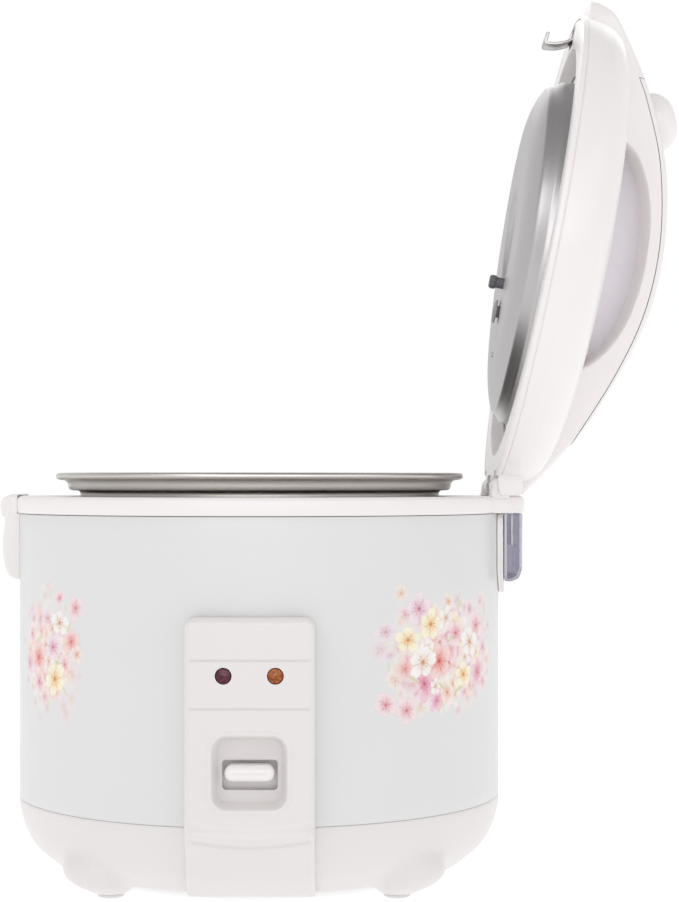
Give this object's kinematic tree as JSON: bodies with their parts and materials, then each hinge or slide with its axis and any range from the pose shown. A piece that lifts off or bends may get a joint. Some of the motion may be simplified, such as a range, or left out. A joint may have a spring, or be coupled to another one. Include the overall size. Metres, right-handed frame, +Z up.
{
  "type": "rice cooker",
  "caption": "Round hinged-lid electric rice cooker with lift-out pan, cooking lever, latch, steam cap and dew collector, lid open.",
  "frame": {"origin": "centre of the bottom plate's flat underside, on the body's axis, 6 mm above the surface that the feet stand on", "axes": "+Z up, -Y towards the control panel, -X towards the latch, +X towards the hinge"},
  "size_m": [0.4092, 0.3001, 0.521],
  "materials": {
    "white_plastic": "smooth moulded, soft gloss",
    "panel_plastic": "smooth moulded, satin",
    "well_plastic": "fine satin moulding",
    "painted_steel": "gloss baked enamel with a printed flower pattern",
    "pan_metal": "satin non-stick coated",
    "lid_aluminium": "matte anodised face, polished edge band",
    "cast_aluminium": "as cast, machined top",
    "zinc_steel": "zinc plated",
    "chrome": "bright nickel-chrome plate",
    "grey_plastic": "matte heat-resistant plastic",
    "silicone": "grey silicone",
    "black_plastic": "matte phenolic",
    "foot_rubber": "grey rubber",
    "clear_plastic": "clear smoke-tinted plastic",
    "plum_lens": "tinted clear lens",
    "amber_lens": "tinted clear lens",
    "lamp_glass": "clear neon lamp",
    "ferrite": "sintered, dull",
    "brass": "plain"
  },
  "bodies": {
    "cooker_body": {"base_shell": "white_plastic", "bottom_plate": "zinc_steel", "body_sleeve": "painted_steel", "top_ring": "white_plastic", "inner_pot_housing": "zinc_steel", "power_inlet": "black_plastic", "bottom_screw_1": "zinc_steel", "bottom_screw_2": "zinc_steel", "bottom_screw_3": "zinc_steel", "bottom_screw_4": "zinc_steel", "foot_pad_1": "foot_rubber", "foot_pad_2": "foot_rubber", "foot_pad_3": "foot_rubber", "foot_pad_4": "foot_rubber", "inlet_pin_1": "brass", "inlet_pin_2": "brass", "heating_plate": "cast_aluminium", "thermal_fuse": "black_plastic", "side_heater_band": "silicone", "sensor_spring": "zinc_steel", "pivot_bracket": "zinc_steel", "pivot_pin": "zinc_steel", "micro_switch": "black_plastic", "control_panel": "panel_plastic", "lamp_lens_cook": "plum_lens", "lamp_lens_warm": "amber_lens", "lamp_bulb_cook": "lamp_glass", "lamp_bulb_warm": "lamp_glass", "latch_housing": "white_plastic", "button_spring": "zinc_steel", "latch_catch": "zinc_steel", "collector_bracket": "white_plastic", "hinge_pin": "zinc_steel", "hinge_spring": "zinc_steel"},
    "pan": {"cooking_pan": "pan_metal"},
    "sensor": {"sensor_cup": "cast_aluminium", "sensor_ferrite": "ferrite"},
    "magnet_rod": {"magnet": "ferrite", "lift_rod": "zinc_steel"},
    "lever": {"lever_arm": "zinc_steel", "cooking_lever": "white_plastic"},
    "latch_button": {"latch_button": "white_plastic"},
    "dew_collector": {"dew_collector": "clear_plastic"},
    "lid": {"lid_shell": "white_plastic", "handle_cover": "white_plastic", "finger_well_web": "well_plastic", "steam_duct": "grey_plastic", "lid_inner_frame": "white_plastic", "lid_screw_1": "zinc_steel", "lid_screw_2": "zinc_steel", "radiating_plate": "lid_aluminium", "inner_lid_dish": "lid_aluminium", "lid_gasket": "silicone", "inner_lid_knob": "grey_plastic", "steam_hole_cap": "grey_plastic", "hook_pin": "zinc_steel"},
    "steam_cap": {"steam_cap": "white_plastic"},
    "hook": {"lid_hook": "chrome"}
  },
  "joints": [
    {"name": "lid_hinge", "type": "hinge", "parent": "cooker_body", "child": "lid", "pos_m": [0.1437, 0, 0.2255], "axis": [0, 1, 0], "range_deg": [-100.7, 0], "stiffness_Nm_per_rad": 0.6, "springref_deg": 22.92},
    {"name": "pan_lift", "type": "slide", "parent": "cooker_body", "child": "pan", "axis": [0, 0, 1], "range_m": [0, 0.19]},
    {"name": "latch_press", "type": "slide", "parent": "cooker_body", "child": "latch_button", "axis": [1, 0, 0], "range_m": [0, 0.0028], "stiffness_N_per_m": 300, "springref_m": -0.003, "deforming": ["button_spring"]},
    {"name": "hook_pivot", "type": "hinge", "parent": "lid", "child": "hook", "pos_m": [0.19809, 0, 0.49987], "axis": [0, -1, 0], "range_deg": [0, 6], "stiffness_Nm_per_rad": 0.1, "springref_deg": -11.46},
    {"name": "lever_rock", "type": "hinge", "parent": "cooker_body", "child": "lever", "pos_m": [0, -0.062, 0.046], "axis": [1, 0, 0], "range_deg": [0, 2.4], "stiffness_Nm_per_rad": 0.3, "springref_deg": -5.73},
    {"name": "magnet_lift", "type": "slide", "parent": "cooker_body", "child": "magnet_rod", "axis": [0, 0, 1], "range_m": [0, 0.0027]},
    {"name": "sensor_press", "type": "slide", "parent": "cooker_body", "child": "sensor", "axis": [0, 0, 1], "range_m": [-0.003, 0], "stiffness_N_per_m": 300, "springref_m": 0.004, "deforming": ["sensor_spring"]},
    {"name": "steam_cap_pull", "type": "slide", "parent": "lid", "child": "steam_cap", "axis": [0.9711, 0, 0.2385], "range_m": [0, 0.04]},
    {"name": "collector_pull", "type": "slide", "parent": "cooker_body", "child": "dew_collector", "axis": [1, 0, 0], "range_m": [0, 0.04]}
  ],
  "couplings": [
    {"joint": "magnet_lift", "follows": "lever_rock", "m_per_rad": 0.062}
  ]
}
